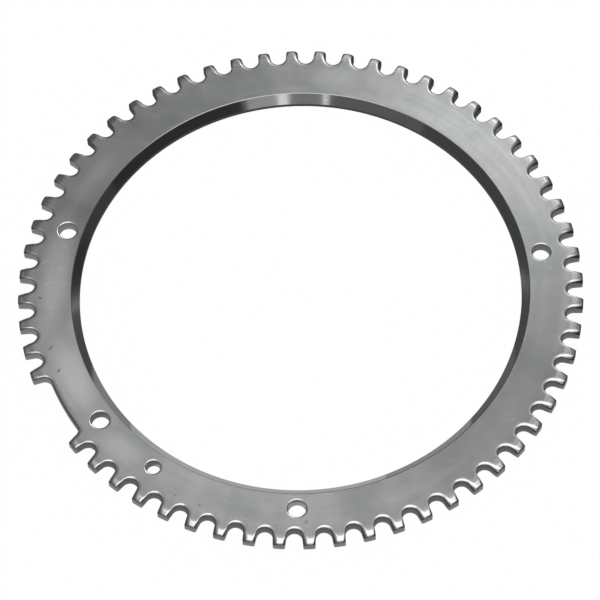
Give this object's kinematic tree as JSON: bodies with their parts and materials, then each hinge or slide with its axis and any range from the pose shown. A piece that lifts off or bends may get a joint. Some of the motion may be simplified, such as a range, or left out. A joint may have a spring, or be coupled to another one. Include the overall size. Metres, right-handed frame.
{
  "type": "speed sensor tone ring",
  "caption": "Flat toothed steel ring with round-bottomed slots, a missing-tooth index gap, a conical lead-in to its bore, screw holes and a locating hole.",
  "frame": {"origin": "centre of the bore in the lower face", "axes": "+Z out of the rolled upper face, +X through the middle of the index gap"},
  "size_m": [0.199, 0.1998, 0.0045],
  "materials": {
    "steel": "lapped"
  },
  "bodies": {
    "root": {"tone_ring": "steel"}
  },
  "joints": []
}
